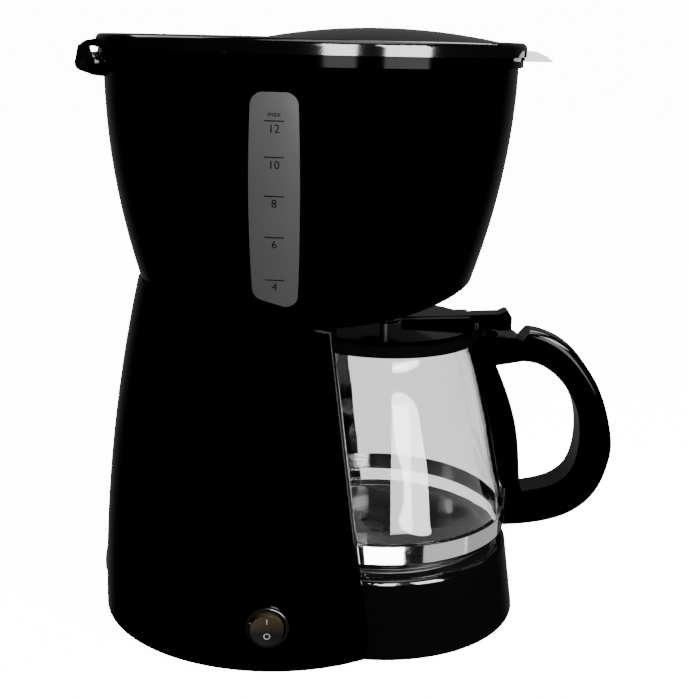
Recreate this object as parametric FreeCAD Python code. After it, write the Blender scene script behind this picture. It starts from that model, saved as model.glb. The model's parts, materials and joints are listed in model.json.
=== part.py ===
import FreeCAD, Part
import math
import os
from FreeCAD import Matrix, Vector

# Drip coffee maker, in millimetres. +Z is up and -Y is the front, where the jug's handle points.
# The shapes are laid out about the jug's axis (X = 0, Y = 0, ground at Z = 0), and every piece is
# moved along Y when it is written, so that the row's origin is the middle of the whole object's base.

# ---------------------------------------------------------------- general
WALL = 2.4             # moulded shell
THIN_WALL = 2.0        # inner mouldings
SEAM_GAP = 0.5         # visible joint between two shells
NEST_GAP = 0.6         # between mouldings that sit inside each other
RUN_GAP = 0.4          # between bodies that move past each other
PIN_GAP = 0.05         # radial running clearance of a pin in its bore
FEW = 0.1              # between fixed pieces that touch along curved faces

# ---------------------------------------------------------------- jug
JUG_R = 70.0           # outside of the steel band
JUG_H = 111.0          # from the glass base to the lower edge of the neck collar
GLASS_T = 2.2
NECK_R = 47.0          # glass at the neck
BAND_T = 0.6
BAND_H = 9.5
BAND_UP = 8.0          # band's lower edge above the glass base
COLLAR_H = 6.0         # black ring round the glass rim
JUG_LID_T = 2.2
LID_REST = 0.3         # gap under the closed jug lid
PIVOT_R = 1.3
LUG_GAP = 1.4          # half the gap between the band's turned-out ends
LUG_REACH = 9.0
BAND_SCREW_OUT = 4.6
LEVER_W = 11.0
HANDLE_W = 19.0
HANDLE_ROUND = 4.5     # rounding of the handle's long edges
HANDLE_REACH = 56.9    # handle's front beyond the band
JUG_TRAVEL_ROOM = 6.0  # between the band and the wall behind the jug

# ---------------------------------------------------------------- base
FOOT_H = 2.0
DECK_Z = 43.5          # top of the base under the jug
DECK_T = 2.5
DRUM_FLARE = 5.6       # how far the drum's foot stands out past its top
DRUM_SHOULDER = 3.6
PLATE_R = 61.8         # warming plate
BASE_PLATE_T = 2.2
FOOT_R = 9.0

# ---------------------------------------------------------------- upper housing
HEAD_ROOM = 19.2       # from the neck collar's lower edge to the housing's lowest line
HOUSING_H = 123.5      # from that line to the housing's top edge
HOUSING_LENGTH_R = 105.25
FLARE = 22.0           # how much each half axis grows from bottom to top
LEAN = 1.7             # the lower end sits this much further back
UNDERSIDE_R = 225.0    # sweep of the underside, seen from the side
UNDERSIDE_LOW_Y = 35.0
SEAM_KINK_Y = 50.0     # where the seam to the tower starts to climb
SEAM_RISE = 13.0
BASKET_R = 55.0        # filter basket at its top
FRONT_ROOM = 8.6       # from the basket to the housing's outer face at the front

# ---------------------------------------------------------------- rim and lid
COLLAR_OUT = 2.2       # deck flange past the housing
DECK_FLANGE_H = 4.9
LID_OUT = 3.7          # lid past the housing
LID_H = 6.8
LID_T = 2.4
LID_EDGE_R = 3.0
DOME_R = 60.0
DOME_H = 5.8
DOME_Y = 6.0
TAB_REACH = 11.5
TAB_W = 34.0
HINGE_PIN_R = 1.5
HINGE_BARREL_R = 5.0
HINGE_BACK = 2.2       # hinge axis behind the lid's rear edge
HINGE_DOWN = 7.6       # and below the lid's lower edge
BRACKET_W = 39.0
EAR_W = 9.0

# ---------------------------------------------------------------- tower
TOWER_LENGTH_R = 94.2
TOWER_TAPER_Y = 18.1   # the rear face comes in by this much up to the seam
TOWER_TAPER_X = 15.1
LEDGE_Y = 1.0          # the tower stands out past the housing at the seam, at the rear
LEDGE_X = 1.4          # and at the sides
TOWER_LEAN = 14.3
LIP_R = 4.5            # rounded front edges beside the jug
LIP_FOOT_Y = 3.5       # lip's front face at the ground
LIP_SLOPE = 0.136      # and how fast it goes back with height

# ---------------------------------------------------------------- gauge, switch, inlet
GAUGE_W = 21.5
GAUGE_Y = 55.2
GAUGE_TOP_DOWN = 11.0  # window's top below the housing's top edge
GAUGE_T = 2.0
GAUGE_BULGE = 1.2      # how far the window's long sides bow out
SWITCH_Y = 56.5
SWITCH_Z = 26.0
SWITCH_R = 11.0        # bezel
SWITCH_RECESS_R = 15.5
SWITCH_RECESS = 1.4
ROCKER_R = 8.4
ROCKER_DEPTH = 4.5     # pivot behind the tower's face
ROCKER_REST = -5.0     # degrees
GLAND_BORE_R = 3.6
GLAND_Z = 20.0
TERMINALS_X = 40.0
TERMINALS_Y = 118.0

# ---------------------------------------------------------------- screws and feet
SCREW_R = 1.5
BOSS_R = 4.5
TOWER_BOSS_X = 60.0
TOWER_BOSS_Y = 104.0
DRUM_BOSS_ANGLE = 30.0 # in front of the X axis, degrees
FEET_X = 52.0
FEET_REAR_Y = 88.0
FEET_FRONT_Y = -8.0
DRUM_TAIL = 6.0        # the drum's wall runs on this far behind the lips

# ---------------------------------------------------------------- water and heat
RISER_Y = 88.0
RISER_R = 4.2
HOSE_T = 1.8
TANK_SPIGOT_X = -22.0
TANK_SPIGOT_Y = 92.0
HEATER_ARM_X = 22.0
HEATER_FRONT_Y = -8.0
HEATER_REAR_Y = 50.0
HEATER_W = 17.0
WATER_TUBE_R = 4.2
ELEMENT_R = 3.2
CASTING_H = 17.8
PLATE_T = 1.6
VALVE_LIFT = 3.0       # how far the jug's lid holds the drip valve open
STEM_R = 2.4
STEM_HEAD_R = 7.2
NOZZLE_R = 9.0
BRIDGE_UP = 15.0       # valve bridge above the basket's floor
SPREADER_R = 28.0
BRACKET_Y = 20.0       # heater strap
NUT_R = 3.4            # across its corners, halved

# ---------------------------------------------------------------- handle's side view
# Points as (out, up): out beyond the band over HANDLE_REACH, up from the band's edge to the neck.
HANDLE_OUTER = [(0.365, 1.025), (0.54, 0.965), (0.71, 0.86), (0.83, 0.755), (0.92, 0.635), (0.98, 0.51),
                (1.0, 0.42), (0.975, 0.315), (0.91, 0.205), (0.80, 0.115), (0.64, 0.045), (0.47, 0.005),
                (0.33, -0.015)]
HANDLE_INNER = [(0.07, 0.895), (0.20, 0.888), (0.33, 0.855), (0.45, 0.797), (0.55, 0.725), (0.625, 0.64),
                (0.663, 0.54), (0.668, 0.45), (0.65, 0.37), (0.60, 0.295), (0.49, 0.232), (0.33, 0.195),
                (0.15, 0.172)]
PARTING = 0.4          # the cover's joint, as a share of the way from the finger gap to the outside

# ---------------------------------------------------------------- values that follow
BAND_R_IN = JUG_R - BAND_T
GLASS_BASE_Z = DECK_Z + 0.5
BAND_Z = GLASS_BASE_Z + BAND_UP
NECK_Z = GLASS_BASE_Z + JUG_H
JUG_TOP_Z = NECK_Z + COLLAR_H
LID_TOP_Z = JUG_TOP_Z + LID_REST + JUG_LID_T
BOSS_TOP_Z = LID_TOP_Z + 0.6
PIVOT_Y = -NECK_R - 6.2
PIVOT_Z = NECK_Z + 4.0
CAVITY_R = JUG_R + JUG_TRAVEL_ROOM
DRUM_TOP_R = JUG_R + 1.6
DRUM_R = DRUM_TOP_R + DRUM_FLARE
SEAM_Z = NECK_Z + HEAD_ROOM
RIM_Z = SEAM_Z + HOUSING_H
COLLAR_TOP = RIM_Z + FEW + DECK_FLANGE_H
LID_Z = COLLAR_TOP + 0.3
LID_TOP = LID_Z + LID_H
HOUSING_WIDTH_R = JUG_R + 20.0
FRONT_REACH = BASKET_R + FRONT_ROOM
HOUSING_Y = HOUSING_LENGTH_R - FRONT_REACH
HOUSING_REAR = HOUSING_Y + HOUSING_LENGTH_R
HINGE_Y = HOUSING_REAR + LID_OUT + HINGE_BACK
HINGE_Z = LID_Z - HINGE_DOWN
DECK_PLATE_Z = RIM_Z - 3.5
TANK_TOP = DECK_PLATE_Z - FEW
WELL_FLOOR = SEAM_Z + 11.0
BASKET_FLOOR = WELL_FLOOR + 4.5
BASKET_RIM = DECK_PLATE_Z + THIN_WALL + FEW
VALVE_SEAT = BASKET_FLOOR + THIN_WALL
STEM_TIP = BOSS_TOP_Z + 0.3
BRIDGE_Z = BASKET_FLOOR + BRIDGE_UP
PLATE_TOP = DECK_Z + 0.2
CASTING_TOP = PLATE_TOP - PLATE_T
CASTING_Z = CASTING_TOP - CASTING_H
WATER_Z = CASTING_Z + WATER_TUBE_R + 1.2
ELEMENT_Z = CASTING_TOP - ELEMENT_R - 1.1
STRAP_HALF = HEATER_ARM_X + HEATER_W / 2 + 10.5
SPOUT_TOP = LID_TOP - LID_T - 0.6
FLOOR_TOP = FOOT_H + BASE_PLATE_T + FEW
DRUM_BOSS_R = DRUM_TOP_R - WALL - 2.0
DRUM_BOSS_X = DRUM_BOSS_R * math.cos(math.radians(DRUM_BOSS_ANGLE))
DRUM_BOSS_Y = -DRUM_BOSS_R * math.sin(math.radians(DRUM_BOSS_ANGLE))
SPREADER_Z = LID_Z
SCREW_PLACES = [(-TOWER_BOSS_X, TOWER_BOSS_Y), (TOWER_BOSS_X, TOWER_BOSS_Y),
                (-DRUM_BOSS_X, DRUM_BOSS_Y), (DRUM_BOSS_X, DRUM_BOSS_Y)]
FOOT_PLACES = [(x, y) for y in (FEET_REAR_Y, FEET_FRONT_Y) for x in (-FEET_X, FEET_X)]
BIG = 400.0
ROW_SHIFT_Y = ((JUG_R + HANDLE_REACH) - (HINGE_Y + HINGE_BARREL_R)) / 2.0


# ================================================================ helpers
def oval(centre_y, half_length, half_width, z):
    """Elliptical wire, long axis along Y."""
    stretch = Matrix()
    stretch.scale(half_width, half_length, 1.0)
    stretch.move(Vector(0, centre_y, z))
    return Part.Wire(Part.makeCircle(1.0).transformGeometry(stretch).Edges[0])


def prism(wire, height):
    return Part.Face(wire).extrude(Vector(0, 0, height))


def cylinder(radius, height, x, y, z, axis=Vector(0, 0, 1)):
    return Part.makeCylinder(radius, height, Vector(x, y, z), axis)


def ring(outer_r, inner_r, height, x, y, z, axis=Vector(0, 0, 1)):
    return cylinder(outer_r, height, x, y, z, axis).cut(cylinder(inner_r, height, x, y, z, axis))


def block(x0, x1, y0, y1, z0, z1):
    return Part.makeBox(x1 - x0, y1 - y0, z1 - z0, Vector(x0, y0, z0))


def turned(profile):
    """Solid of revolution about the jug's axis from (radius, z) corners."""
    corners = [Vector(r, 0, z) for r, z in profile]
    face = Part.Face(Part.makePolygon(corners + corners[:1]))
    return face.revolve(Vector(0, 0, 0), Vector(0, 0, 1), 360)


def slab(edges, half_width, middle_x=0.0):
    """Solid from a closed outline in the YZ plane, centred on middle_x."""
    face = Part.Face(Part.Wire(Part.__sortEdges__(edges)))
    face.translate(Vector(middle_x - half_width, 0, 0))
    return face.extrude(Vector(2 * half_width, 0, 0))


def side_points(points):
    return [Vector(0, y, z) for y, z in points]


def polygon_edges(points):
    corners = side_points(points)
    return [Part.LineSegment(a, b).toShape() for a, b in zip(corners, corners[1:] + corners[:1])]


def smooth_edge(points):
    curve = Part.BSplineCurve()
    curve.interpolate(side_points(points))
    return curve.toShape()


def straight_edge(start, end):
    return Part.LineSegment(*side_points([start, end])).toShape()


def bent_path(points, bend_r):
    """Straight runs joined by tangent arcs of one radius."""
    corners = [Vector(*p) for p in points]
    edges = []
    start = corners[0]
    for before, corner, after in zip(corners, corners[1:], corners[2:]):
        inward = (before - corner).normalize()
        outward = (after - corner).normalize()
        half_turn = (math.pi - inward.getAngle(outward)) / 2
        cut = bend_r * math.tan(half_turn)
        enter = corner + inward * cut
        leave = corner + outward * cut
        bisector = (inward + outward).normalize()
        middle = corner + bisector * (bend_r / math.cos(half_turn) - bend_r)
        edges.append(Part.LineSegment(start, enter).toShape())
        edges.append(Part.Arc(enter, middle, leave).toShape())
        start = leave
    edges.append(Part.LineSegment(start, corners[-1]).toShape())
    return Part.Wire(edges)


def rod(points, radius, bend_r):
    path = bent_path(points, bend_r)
    start = Vector(*points[0])
    direction = Vector(*points[1]) - start
    section = Part.Wire(Part.makeCircle(radius, start, direction))
    return path.makePipeShell([section], True, False)


def tube(points, outer_r, inner_r, bend_r):
    return rod(points, outer_r, bend_r).cut(rod(points, inner_r, bend_r))


def biggest(shape):
    return max(shape.Solids, key=lambda solid: solid.Volume)


def save(name, shape):
    shape.translate(Vector(0, ROW_SHIFT_Y, 0))
    shape.exportStep("parts/" + name + ".step")
    print(name, len(shape.Solids), "solid", round(shape.Volume), "mm3", shape.isValid())


# ================================================================ shared forms
def housing_oval(z, inset):
    """The upper housing's section at height z, drawn in by inset."""
    depth = (RIM_Z - z) / HOUSING_H
    shrink = FLARE * depth * depth + inset
    return oval(HOUSING_Y + LEAN * depth, HOUSING_LENGTH_R - shrink, HOUSING_WIDTH_R - shrink, z)


def housing_form(bottom, top, inset):
    steps = 5
    heights = [bottom + (top - bottom) * i / (steps - 1) for i in range(steps)]
    return Part.makeLoft([housing_oval(z, inset) for z in heights], True, False)


def housing_axes(z):
    """Middle, half length and half width of the upper housing at height z."""
    depth = (RIM_Z - z) / HOUSING_H
    shrink = FLARE * depth * depth
    return HOUSING_Y + LEAN * depth, HOUSING_LENGTH_R - shrink, HOUSING_WIDTH_R - shrink


def tower_axes(z):
    rise = z / SEAM_Z
    seam_rear_z = SEAM_Z + SEAM_RISE
    seam_rise = seam_rear_z / SEAM_Z
    middle, half_length, half_width = housing_axes(seam_rear_z)
    rear = middle + half_length + LEDGE_Y + TOWER_TAPER_Y * (seam_rise ** 2 - rise ** 2)
    foot_middle = middle + half_length + LEDGE_Y + TOWER_TAPER_Y * seam_rise ** 2 - TOWER_LENGTH_R
    tower_middle = foot_middle - TOWER_LEAN * rise
    width = half_width + LEDGE_X + TOWER_TAPER_X * (seam_rise ** 2 - rise ** 2)
    return tower_middle, rear - tower_middle, width


def tower_form(bottom, top, inset):
    steps = 6
    sections = []
    for i in range(steps):
        z = bottom + (top - bottom) * i / (steps - 1)
        middle, half_length, half_width = tower_axes(z)
        sections.append(oval(middle, half_length - inset, half_width - inset, z))
    return Part.makeLoft(sections, True, False)


def underside_rise(y):
    """How far the front sweep has climbed at y."""
    return UNDERSIDE_R - math.sqrt(UNDERSIDE_R ** 2 - (y - UNDERSIDE_LOW_Y) ** 2)


def below_seam(lift):
    """Everything under the housing's lower line, with the line raised by lift."""
    base = SEAM_Z + lift
    front_y = -FRONT_REACH - 30.0
    halfway_y = (front_y + UNDERSIDE_LOW_Y) / 2
    sweep = Part.Arc(*side_points([
        (front_y, base + underside_rise(front_y)),
        (halfway_y, base + underside_rise(halfway_y)),
        (UNDERSIDE_LOW_Y, base)])).toShape()
    rear_y = HOUSING_REAR + 25.0
    run = rear_y - SEAM_KINK_Y
    climb = smooth_edge([
        (SEAM_KINK_Y, base),
        (SEAM_KINK_Y + 0.07 * run, base + 0.42 * SEAM_RISE),
        (SEAM_KINK_Y + 0.21 * run, base + 0.80 * SEAM_RISE),
        (SEAM_KINK_Y + 0.45 * run, base + 0.97 * SEAM_RISE),
        (rear_y, base + 1.08 * SEAM_RISE)])
    outline = [
        sweep,
        straight_edge((UNDERSIDE_LOW_Y, base), (SEAM_KINK_Y, base)),
        climb,
        straight_edge((rear_y, base + 1.08 * SEAM_RISE), (rear_y, -BIG)),
        straight_edge((rear_y, -BIG), (front_y, -BIG)),
        straight_edge((front_y, -BIG), (front_y, base + underside_rise(front_y)))]
    return slab(outline, BIG / 2)


def lip_y(z):
    return LIP_FOOT_Y + LIP_SLOPE * z


def in_front_of_lips(back):
    """Everything in front of the tower's sloping front face, moved back by back."""
    return slab(polygon_edges([
        (lip_y(-BIG) + back, -BIG), (lip_y(BIG) + back, BIG), (-BIG, BIG), (-BIG, -BIG)]), BIG / 2)


def glass_form(inset, base_z, top_z):
    """The jug's glass as a solid of revolution, drawn in by inset."""
    body_r = BAND_R_IN - FEW - inset
    neck_r = NECK_R - inset
    belly_z = BAND_Z + BAND_H - 3.0
    foot_r = body_r - 11.5
    slope = [(0.0, 0.0), (0.179, 0.139), (0.469, 0.408), (0.656, 0.60), (0.853, 0.839), (1.0, 1.0)]
    draw = body_r - neck_r
    climb = NECK_Z - belly_z
    side = [Vector(body_r - draw * back, 0, belly_z + climb * up) for up, back in slope]
    low = Vector(body_r, 0, BAND_Z)
    halfway = Vector(body_r - 2.6, 0, base_z + 0.42 * (BAND_Z - base_z))
    foot = Part.Arc(Vector(foot_r, 0, base_z), halfway, low)
    belly = Part.BSplineCurve()
    belly.interpolate(Points=side, InitialTangent=Vector(0, 0, 1), FinalTangent=Vector(0, 0, 1))
    corners = [side[-1], Vector(neck_r, 0, top_z), Vector(0, 0, top_z), Vector(0, 0, base_z), foot.StartPoint]
    edges = [foot.toShape(), Part.LineSegment(low, side[0]).toShape(), belly.toShape()]
    edges += [Part.LineSegment(p, q).toShape() for p, q in zip(corners, corners[1:])]
    return Part.Face(Part.Wire(edges)).revolve(Vector(0, 0, 0), Vector(0, 0, 1), 360)


# ================================================================ upper housing
def gauge_outline(margin, depth_x):
    """The level window's outline as a bar along X, grown by margin; its foot follows the seam."""
    corner = 6.0
    half = GAUGE_W / 2 + margin
    top = RIM_Z - GAUGE_TOP_DOWN + margin
    middle_z = (top + SEAM_Z) / 2
    foot_front = (GAUGE_Y - half, SEAM_Z + 9.5 - margin)
    foot_rear = (GAUGE_Y + half, SEAM_Z + 15.5 - margin)
    top_front = (GAUGE_Y - half, top)
    top_rear = (GAUGE_Y + half, top)
    front_side = Part.Arc(*side_points([foot_front, (GAUGE_Y - half - GAUGE_BULGE, middle_z), top_front]))
    rear_side = Part.Arc(*side_points([foot_rear, (GAUGE_Y + half + GAUGE_BULGE, middle_z), top_rear]))
    bar = slab([front_side.toShape(), straight_edge(top_front, top_rear),
                rear_side.toShape(), straight_edge(foot_rear, foot_front)], depth_x / 2)
    edges = [e for e in bar.Edges if e.BoundBox.XLength > depth_x / 2]
    bar = bar.makeFillet(corner, edges)
    bar.translate(Vector(-depth_x / 2, 0, 0))
    return bar


def make_upper_housing():
    outer = housing_form(SEAM_Z - 8, RIM_Z, 0).cut(below_seam(0))
    inner = housing_form(SEAM_Z - 8, RIM_Z + 5, WALL).cut(below_seam(WALL))
    shell = outer.cut(inner)
    drip_hole = cylinder(14, BIG, 0, 0, 0)
    hose_slot = block(-36, 36, RISER_Y - 10, RISER_Y + 16, 0, RIM_Z)
    gauge_slot = gauge_outline(0, BIG / 2)
    return shell.cut(drip_hole).cut(hose_slot).cut(gauge_slot)


def tank_plan(inset, bottom, top):
    """Inside of the housing behind and beside the filter well."""
    form = housing_form(bottom, top, WALL + NEST_GAP + inset)
    front = block(-BIG, BIG, -BIG, 18 + inset, -BIG, BIG)
    well = cylinder(BASKET_R + 5.5 + inset, BIG, 0, 0, 0)
    return form.cut(front).cut(well)


def make_water_tank():
    floor_lift = WALL + 1.5
    outer = tank_plan(0, SEAM_Z - 8, TANK_TOP).cut(below_seam(floor_lift))
    hollow = tank_plan(THIN_WALL, SEAM_Z - 8, TANK_TOP + 5).cut(below_seam(floor_lift + THIN_WALL))
    tank = outer.cut(hollow)
    floor_z = SEAM_Z + SEAM_RISE + floor_lift
    standpipe = cylinder(RISER_R + 2.4, TANK_TOP - floor_z, 0, RISER_Y, floor_z)
    spigot = cylinder(WATER_TUBE_R, 24, TANK_SPIGOT_X, TANK_SPIGOT_Y, floor_z - 22)
    tank = tank.fuse([standpipe, spigot])
    tank = tank.cut(cylinder(RISER_R + 0.4, BIG, 0, RISER_Y, 0))
    return tank.cut(cylinder(2.8, 40, TANK_SPIGOT_X, TANK_SPIGOT_Y, floor_z - 30)).removeSplitter()


def make_gauge_window():
    skin = housing_form(SEAM_Z - 8, RIM_Z, -0.3).cut(housing_form(SEAM_Z - 8, RIM_Z + 5, GAUGE_T))
    return biggest(gauge_outline(-FEW, BIG / 2).common(skin))


def make_deck():
    flange = prism(housing_oval(RIM_Z, -COLLAR_OUT), DECK_FLANGE_H)
    flange.translate(Vector(0, 0, FEW))
    skirt = prism(housing_oval(RIM_Z, WALL + NEST_GAP), COLLAR_TOP - DECK_PLATE_Z)
    skirt.translate(Vector(0, 0, DECK_PLATE_Z - RIM_Z))
    recess = prism(housing_oval(RIM_Z, WALL + NEST_GAP + THIN_WALL), BIG)
    recess.translate(Vector(0, 0, DECK_PLATE_Z + THIN_WALL - RIM_Z))
    deck = flange.fuse(skirt).cut(recess)
    filling = prism(housing_oval(RIM_Z, WALL + NEST_GAP + 9), BIG)
    filling.translate(Vector(0, 0, -50))
    filling = filling.cut(cylinder(BASKET_R + 4, BIG, 0, 0, 0)).cut(block(-10, 10, 0, BIG, 0, BIG))
    well = cylinder(BASKET_R + 1.2, BIG, 0, 0, 0)
    riser = cylinder(RISER_R + 0.4, BIG, 0, RISER_Y, 0)
    return deck.cut(filling).cut(well).cut(riser).removeSplitter()


def cup_profile(grow, floor_z, top_z):
    """Corners of the filter well's bowl, (radius, z), grown outwards."""
    span = top_z - floor_z
    shape = [(0.42, 0.0), (0.68, 0.07), (0.82, 0.22), (0.93, 0.48), (1.0, 0.86), (1.0, 1.0)]
    return [(BASKET_R * r + grow, floor_z + span * up) for r, up in shape]


def cup(grow, floor_z, top_z):
    side = cup_profile(grow, floor_z, top_z)
    return turned([(0, floor_z)] + side + [(0, top_z)])


def make_filter_housing():
    bowl = cup(3.4, WELL_FLOOR, TANK_TOP).cut(cup(1.4, WELL_FLOOR + THIN_WALL, TANK_TOP + 5))
    return bowl.cut(cylinder(NOZZLE_R + 1.0, 40, 0, 0, WELL_FLOOR - 20))


def make_filter_basket():
    bowl = cup(0, BASKET_FLOOR, BASKET_RIM).cut(cup(-THIN_WALL, BASKET_FLOOR + THIN_WALL, BASKET_RIM + 5))
    rim = ring(BASKET_R + 3.0, BASKET_R - THIN_WALL, 1.7, 0, 0, BASKET_RIM)
    nozzle = cylinder(NOZZLE_R, BASKET_FLOOR - SEAM_Z - 4.5, 0, 0, SEAM_Z + 4.5)
    bridge = block(-20, 20, -3, 3, BRIDGE_Z, BRIDGE_Z + 2)
    posts = [block(x - 1.5, x + 1.5, -3, 3, BASKET_FLOOR + 1, BRIDGE_Z + 1) for x in (-18.5, 18.5)]
    basket = bowl.fuse([rim, nozzle, bridge] + posts)
    basket = basket.cut(cylinder(NOZZLE_R - 2.2, BASKET_FLOOR - SEAM_Z - 4.5, 0, 0, SEAM_Z + 4.4))
    basket = basket.cut(cylinder(STEM_R + 2.6, 40, 0, 0, BASKET_FLOOR - 10))
    basket = basket.fuse(bridge).cut(cylinder(STEM_R + PIN_GAP, 40, 0, 0, BRIDGE_Z - 5))
    ribs = [rib(angle) for angle in range(15, 375, 30)]
    return basket.fuse(ribs).removeSplitter()


def rib(angle):
    """Drainage rib on the basket's floor."""
    bar = block(11, 20, -0.8, 0.8, BASKET_FLOOR + 1.5, BASKET_FLOOR + 3.5)
    bar.rotate(Vector(0, 0, 0), Vector(0, 0, 1), angle)
    return bar


def make_valve_plunger():
    top = BRIDGE_Z + 7
    stem = cylinder(STEM_R, top - STEM_TIP, 0, 0, STEM_TIP)
    head = cylinder(STEM_HEAD_R, 1.6, 0, 0, VALVE_SEAT + VALVE_LIFT)
    return stem.fuse(head).removeSplitter()


def make_valve_seal():
    return ring(STEM_HEAD_R - 0.6, STEM_R + 0.02, 1.4, 0, 0, VALVE_SEAT + VALVE_LIFT - 1.4)


def make_valve_spring():
    wire_r = 0.4
    coil_r = 4.0
    bottom = VALVE_SEAT + VALVE_LIFT + 1.6 + wire_r
    height = BRIDGE_Z - wire_r - bottom
    turns = 4
    path = Part.makeHelix(height / turns, height, coil_r)
    section = Part.Wire(Part.makeCircle(wire_r, Vector(coil_r, 0, 0), Vector(0, 1, 0)))
    coil = Part.Wire(path).makePipeShell([section], True, True)
    coil.translate(Vector(0, 0, bottom))
    return coil


# ================================================================ lid and hinge
def lid_hollow():
    room = prism(housing_oval(RIM_Z, THIN_WALL - LID_OUT), LID_H - LID_T)
    room.translate(Vector(0, 0, LID_Z - RIM_Z))
    return room.fuse(dome(LID_TOP - LID_T))


def dome(base_z):
    """Low spherical cap over the filter."""
    ball_r = (DOME_R ** 2 + DOME_H ** 2) / (2 * DOME_H)
    ball = Part.makeSphere(ball_r, Vector(0, DOME_Y, base_z + DOME_H - ball_r))
    return ball.common(cylinder(DOME_R + 1, DOME_H + 1, 0, DOME_Y, base_z - 0.5))


def lid_ear(x):
    barrel = cylinder(HINGE_BARREL_R - 1.0, EAR_W, x - EAR_W / 2, HINGE_Y, HINGE_Z, Vector(1, 0, 0))
    root_y = HINGE_Y - HINGE_BACK - 4.6
    arm = slab(polygon_edges([
        (root_y, LID_Z + 0.4), (root_y, LID_TOP - 2.6), (HINGE_Y - 1.5, LID_Z + 3.2),
        (HINGE_Y + 2.2, LID_Z + 0.6), (HINGE_Y + 4.0, HINGE_Z), (HINGE_Y - 3.6, HINGE_Z),
        (HINGE_Y - 2.0, LID_Z + 0.4)]), EAR_W / 2, x)
    return barrel.fuse(arm)


def make_lid():
    top = prism(housing_oval(RIM_Z, -LID_OUT), LID_H)
    top.translate(Vector(0, 0, LID_Z - RIM_Z))
    rim = [e for e in top.Edges if e.BoundBox.ZMin > LID_TOP - 0.1]
    top = top.makeFillet(LID_EDGE_R, rim)
    body = top.fuse(dome(LID_TOP))
    ear_x = BRACKET_W / 2 + RUN_GAP + EAR_W / 2
    ears = [lid_ear(ear_x), lid_ear(-ear_x)]
    front = -FRONT_REACH - LID_OUT
    tab = slab(polygon_edges([
        (front + 4, LID_Z - 2.2), (front + 4, LID_Z + 3.4), (front - 3, LID_Z + 2.9),
        (front - 8, LID_Z + 0.8), (front - TAB_REACH, LID_Z - 1.6), (front - TAB_REACH + 0.6, LID_Z - 2.2)]),
        TAB_W / 2)
    body = body.fuse(ears + [tab]).cut(lid_hollow())
    inner_trim = prism(housing_oval(RIM_Z, THIN_WALL - LID_OUT), 20)
    inner_trim.translate(Vector(0, 0, LID_Z - 20 - RIM_Z))
    flange_room = prism(housing_oval(RIM_Z, -COLLAR_OUT - 0.7), 20)
    flange_room.translate(Vector(0, 0, COLLAR_TOP + 0.3 - 20 - RIM_Z))
    body = body.cut(inner_trim).cut(flange_room)
    pin_hole = cylinder(HINGE_PIN_R + PIN_GAP, BIG, -BIG / 2, HINGE_Y, HINGE_Z, Vector(1, 0, 0))
    return body.cut(pin_hole).removeSplitter()


def make_lid_spreader():
    """Channel and perforated tray under the dome that carry the water to the middle of the filter."""
    tray = cylinder(SPREADER_R, 30, 0, 0, SPREADER_Z)
    tray = tray.cut(cylinder(SPREADER_R - 1.6, 30, 0, 0, SPREADER_Z + 1.6))
    end_y = BASKET_R + 3.0
    channel = block(-9, 9, SPREADER_R - 2, end_y, SPREADER_Z, SPREADER_Z + 30)
    groove = block(-7.4, 7.4, SPREADER_R - 8, end_y + 1, SPREADER_Z + 1.6, SPREADER_Z + 31)
    form = tray.fuse(channel).cut(groove)
    holes = []
    for radius, count in ((8, 6), (17, 12)):
        for i in range(count):
            angle = 2 * math.pi * i / count
            holes.append(cylinder(1.5, 4, radius * math.cos(angle), radius * math.sin(angle), SPREADER_Z - 1))
    return form.cut(Part.makeCompound(holes)).common(lid_hollow()).removeSplitter()


def make_hinge_bracket():
    barrel = cylinder(HINGE_BARREL_R, BRACKET_W, -BRACKET_W / 2, HINGE_Y, HINGE_Z, Vector(1, 0, 0))
    web = slab(polygon_edges([
        (HOUSING_REAR - 25, RIM_Z - 1.2), (HINGE_Y - 1, RIM_Z - 1.2), (HINGE_Y + 2.6, HINGE_Z - 4),
        (HINGE_Y - 3, HINGE_Z - 6.2), (HOUSING_REAR - 25, HINGE_Z - 8.4)]), BRACKET_W / 2)
    housing = housing_form(SEAM_Z - 8, RIM_Z + 20, -FEW)
    pin_hole = cylinder(HINGE_PIN_R, BIG, -BIG / 2, HINGE_Y, HINGE_Z, Vector(1, 0, 0))
    flange_room = prism(housing_oval(RIM_Z, -COLLAR_OUT - FEW), DECK_FLANGE_H + 3)
    return barrel.fuse(web).cut(housing).cut(flange_room).cut(pin_hole).removeSplitter()


def make_hinge_pin():
    length = BRACKET_W + 2 * (RUN_GAP + EAR_W)
    return cylinder(HINGE_PIN_R, length, -length / 2, HINGE_Y, HINGE_Z, Vector(1, 0, 0))


# ================================================================ tower and base
SWITCH_FACE_X = -tower_axes(SWITCH_Z)[2]


def drum_form(inset, bottom):
    """The round base under the jug with its rounded shoulder, drawn in by inset."""
    shoulder_z = DECK_Z - DRUM_SHOULDER
    middle_r = DRUM_TOP_R - DRUM_SHOULDER
    reach = DRUM_SHOULDER - inset
    bend = Part.Arc(
        Vector(middle_r + reach, 0, shoulder_z),
        Vector(middle_r + reach * math.sqrt(0.5), 0, shoulder_z + reach * math.sqrt(0.5)),
        Vector(middle_r, 0, shoulder_z + reach))
    corners = [bend.EndPoint, Vector(0, 0, DECK_Z - inset), Vector(0, 0, bottom),
               Vector(DRUM_R - inset, 0, bottom), bend.StartPoint]
    edges = [bend.toShape()] + [Part.LineSegment(p, q).toShape() for p, q in zip(corners, corners[1:])]
    return Part.Face(Part.Wire(edges)).revolve(Vector(0, 0, 0), Vector(0, 0, 1), 360)


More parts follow.
